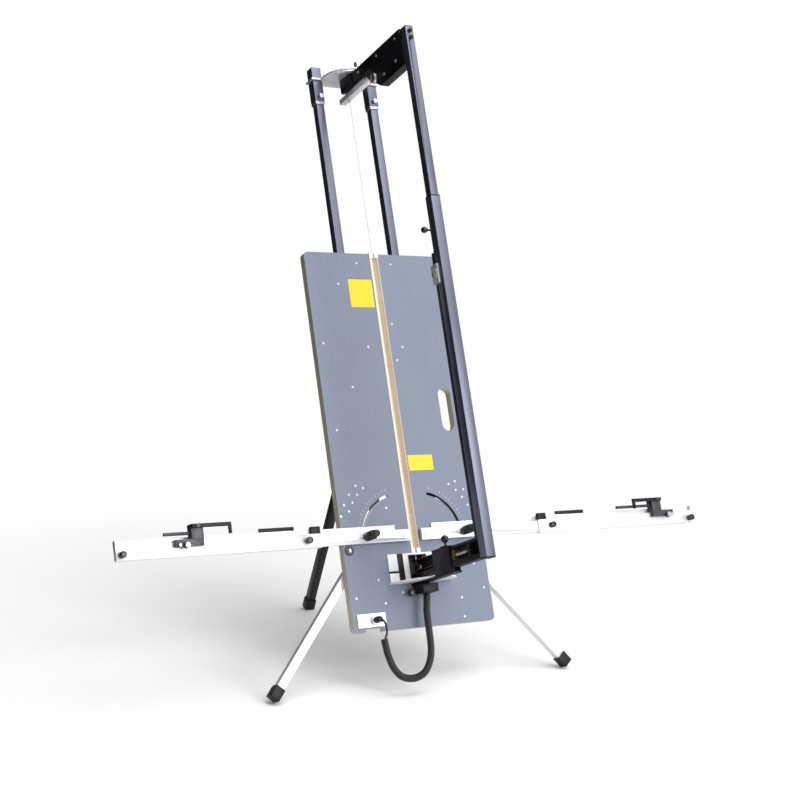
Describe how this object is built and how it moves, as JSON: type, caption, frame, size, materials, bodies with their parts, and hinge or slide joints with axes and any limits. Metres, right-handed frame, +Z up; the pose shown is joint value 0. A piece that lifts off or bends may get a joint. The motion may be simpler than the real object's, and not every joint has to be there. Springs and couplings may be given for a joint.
{
  "type": "hot-wire foam board cutter",
  "caption": "Hot-wire cutter for rigid foam boards: a leaning plywood board on folding legs with a sliding, swivelling bow and tilting rails with adjustable stops.",
  "frame": {"origin": "on the floor, under the middle of the stand's bounding box", "axes": "+Z up, -Y out of the board's front, +X to the right seen from the front"},
  "size_m": [1.905, 1.047, 1.8124],
  "materials": {
    "plywood": "film-faced plywood with a faint grain",
    "batten_wood": "pale softwood, one half darker",
    "white_metal": "white powder coat",
    "silver": "satin aluminium",
    "bright_rail": "bright extruded aluminium",
    "steel": "bright steel",
    "label_yellow": "yellow film",
    "black_tube": "black coat",
    "navy_tube": "grey anodised tube",
    "dull_zinc": "dull zinc",
    "black_plastic": "black moulding",
    "knob_plastic": "glossy black moulding",
    "grey_block": "dark grey block",
    "brass": "turned brass",
    "rocker_white": "white moulding",
    "hose_black": "ribbed hose"
  },
  "bodies": {
    "stand": {"backboard": "plywood", "battens": "batten_wood", "batten_caps": "white_metal", "screw_heads": "dull_zinc", "warning_labels": "label_yellow", "power_inlet": "silver", "masts": "navy_tube", "mast_extensions": "navy_tube", "mast_collars": "dull_zinc", "head_plate": "silver", "rear_crossbar": "black_tube", "leg_plate": "black_tube", "leg_pins": "steel", "lower_bracket": "white_metal", "lower_protractor": "white_metal", "hose_gland": "black_plastic", "hose": "hose_black", "cable": "hose_black", "plug": "black_plastic"},
    "left_leg_body": {"left_leg": "silver", "left_foot": "black_plastic"},
    "right_leg_body": {"right_leg": "silver", "right_foot": "black_plastic"},
    "rear_leg_body": {"rear_leg": "black_tube", "rear_foot": "black_plastic"},
    "bracket_knob_body": {"bracket_knob": "knob_plastic"},
    "swivel": {"top_guide": "black_tube", "bottom_guide": "black_tube", "guide_clamp": "black_tube"},
    "top_angle_knob_body": {"top_angle_knob": "steel"},
    "slide_lock_knob_body": {"slide_lock_knob": "knob_plastic"},
    "bow": {"bow_lower_tube": "navy_tube", "bow_upper_tube": "navy_tube", "upper_gusset": "black_tube", "wire_bar": "white_metal", "lower_arm": "black_tube", "wire_duct": "black_plastic", "switch_box": "silver", "cutting_wire": "steel", "wire_tensioner": "brass", "tension_spring": "steel"},
    "depth_knob_body": {"depth_knob": "steel"},
    "bow_clamp_knob_body": {"bow_clamp_knob": "knob_plastic"},
    "wire_pulley_body": {"wire_pulley": "brass"},
    "push_button_body": {"push_button": "brass"},
    "rocker_switch_body": {"rocker_switch": "rocker_white"},
    "left_rail": {"left_inner_rail": "silver"},
    "left_slider": {"left_outer_rail": "bright_rail"},
    "left_stop_body": {"left_stop": "grey_block"},
    "left_stop_arm_body": {"left_stop_arm": "black_plastic"},
    "left_arc_knob_body": {"left_arc_knob": "knob_plastic"},
    "left_rail_knob_body": {"left_rail_knob": "knob_plastic"},
    "left_end_knob_body": {"left_end_knob": "knob_plastic"},
    "right_rail": {"right_inner_rail": "silver"},
    "right_slider": {"right_outer_rail": "bright_rail"},
    "right_stop_body": {"right_stop": "grey_block"},
    "right_stop_arm_body": {"right_stop_arm": "black_plastic"},
    "right_arc_knob_body": {"right_arc_knob": "knob_plastic"},
    "right_rail_knob_body": {"right_rail_knob": "knob_plastic"},
    "right_end_knob_body": {"right_end_knob": "knob_plastic"}
  },
  "joints": [
    {"name": "left_leg_fold", "type": "hinge", "parent": "stand", "child": "left_leg_body", "pos_m": [-0.1925, -0.0974, 0.38203], "axis": [0, 0.9063, -0.4226], "range_deg": [-40.7, 0]},
    {"name": "right_leg_fold", "type": "hinge", "parent": "stand", "child": "right_leg_body", "pos_m": [0.0675, -0.0974, 0.38203], "axis": [0, -0.9063, 0.4226], "range_deg": [-40.7, 0]},
    {"name": "rear_leg_fold", "type": "hinge", "parent": "stand", "child": "rear_leg_body", "pos_m": [-0.0625, 0.17603, 0.88676], "axis": [1, 0, 0], "range_deg": [-43, 0]},
    {"name": "bracket_knob_turn", "type": "hinge", "parent": "stand", "child": "bracket_knob_body", "pos_m": [-0.1025, -0.2138, 0.25425], "axis": [0, 0.9063, -0.4226], "continuous": true},
    {"name": "swivel_turn", "type": "hinge", "parent": "stand", "child": "swivel", "pos_m": [-0.0625, 0.10233, 0.88251], "axis": [0, 0.4226, 0.9063], "range_deg": [-45, 45]},
    {"name": "top_angle_knob_turn", "type": "hinge", "parent": "swivel", "child": "top_angle_knob_body", "pos_m": [-0.0625, 0.40336, 1.70318], "axis": [0, 0.4226, 0.9063], "continuous": true},
    {"name": "slide_lock_knob_turn", "type": "hinge", "parent": "swivel", "child": "slide_lock_knob_body", "pos_m": [-0.077, -0.32133, 0.42355], "axis": [0, 0.4226, 0.9063], "continuous": true},
    {"name": "bow_depth_slide", "type": "slide", "parent": "swivel", "child": "bow", "axis": [0, -0.9063, 0.4226], "range_m": [0, 0.3]},
    {"name": "depth_knob_turn", "type": "hinge", "parent": "bow", "child": "depth_knob_body", "pos_m": [-0.0825, 0.26255, 1.66622], "axis": [1, 0, 0], "continuous": true},
    {"name": "bow_clamp_knob_turn", "type": "hinge", "parent": "bow", "child": "bow_clamp_knob_body", "pos_m": [-0.0925, -0.1262, 1.25609], "axis": [1, 0, 0], "continuous": true},
    {"name": "wire_pulley_turn", "type": "hinge", "parent": "bow", "child": "wire_pulley_body", "pos_m": [-0.0625, -0.17247, 0.31332], "axis": [1, 0, 0], "continuous": true},
    {"name": "push_button_press", "type": "slide", "parent": "bow", "child": "push_button_body", "axis": [1, 0, 0], "range_m": [0, 0.003], "stiffness_N_per_m": 400},
    {"name": "rocker_switch_rock", "type": "hinge", "parent": "bow", "child": "rocker_switch_body", "pos_m": [-0.081, -0.17009, 1.14305], "axis": [0, 0.9063, -0.4226], "range_deg": [-8, 8]},
    {"name": "left_rail_tilt", "type": "hinge", "parent": "stand", "child": "left_rail", "pos_m": [-0.0985, -0.13301, 0.39201], "axis": [0, 0.9063, -0.4226], "range_deg": [0, 50]},
    {"name": "left_arc_knob_turn", "type": "hinge", "parent": "left_rail", "child": "left_arc_knob_body", "pos_m": [-0.22242, -0.16019, 0.40946], "axis": [0, 0.9063, -0.4226], "continuous": true},
    {"name": "left_rail_slide", "type": "slide", "parent": "left_rail", "child": "left_slider", "axis": [-1, 0, 0], "range_m": [-0.05, 0.12]},
    {"name": "left_rail_knob_turn", "type": "hinge", "parent": "left_slider", "child": "left_rail_knob_body", "pos_m": [-0.4065, -0.15579, 0.40705], "axis": [0, 0.9063, -0.4226], "continuous": true},
    {"name": "left_end_knob_turn", "type": "hinge", "parent": "left_slider", "child": "left_end_knob_body", "pos_m": [-0.9385, -0.15923, 0.40204], "axis": [0, 0.9063, -0.4226], "continuous": true},
    {"name": "left_stop_slide", "type": "slide", "parent": "left_slider", "child": "left_stop_body", "axis": [-1, 0, 0], "range_m": [-0.26, 0.11]},
    {"name": "left_stop_arm_turn", "type": "hinge", "parent": "left_stop_body", "child": "left_stop_arm_body", "pos_m": [-0.7315, -0.13484, 0.45907], "axis": [0, -0.9063, 0.4226], "range_deg": [0, 90]},
    {"name": "right_rail_tilt", "type": "hinge", "parent": "stand", "child": "right_rail", "pos_m": [-0.0265, -0.13301, 0.39201], "axis": [0, -0.9063, 0.4226], "range_deg": [0, 50]},
    {"name": "right_arc_knob_turn", "type": "hinge", "parent": "right_rail", "child": "right_arc_knob_body", "pos_m": [0.09742, -0.16019, 0.40946], "axis": [0, 0.9063, -0.4226], "continuous": true},
    {"name": "right_rail_slide", "type": "slide", "parent": "right_rail", "child": "right_slider", "axis": [1, 0, 0], "range_m": [-0.15, 0.02]},
    {"name": "right_rail_knob_turn", "type": "hinge", "parent": "right_slider", "child": "right_rail_knob_body", "pos_m": [0.4065, -0.15579, 0.40705], "axis": [0, 0.9063, -0.4226], "continuous": true},
    {"name": "right_end_knob_turn", "type": "hinge", "parent": "right_slider", "child": "right_end_knob_body", "pos_m": [0.9385, -0.15923, 0.40204], "axis": [0, 0.9063, -0.4226], "continuous": true},
    {"name": "right_stop_slide", "type": "slide", "parent": "right_slider", "child": "right_stop_body", "axis": [1, 0, 0], "range_m": [-0.25, 0.06]},
    {"name": "right_stop_arm_turn", "type": "hinge", "parent": "right_stop_body", "child": "right_stop_arm_body", "pos_m": [0.8045, -0.13484, 0.45907], "axis": [0, 0.9063, -0.4226], "range_deg": [0, 90]}
  ]
}
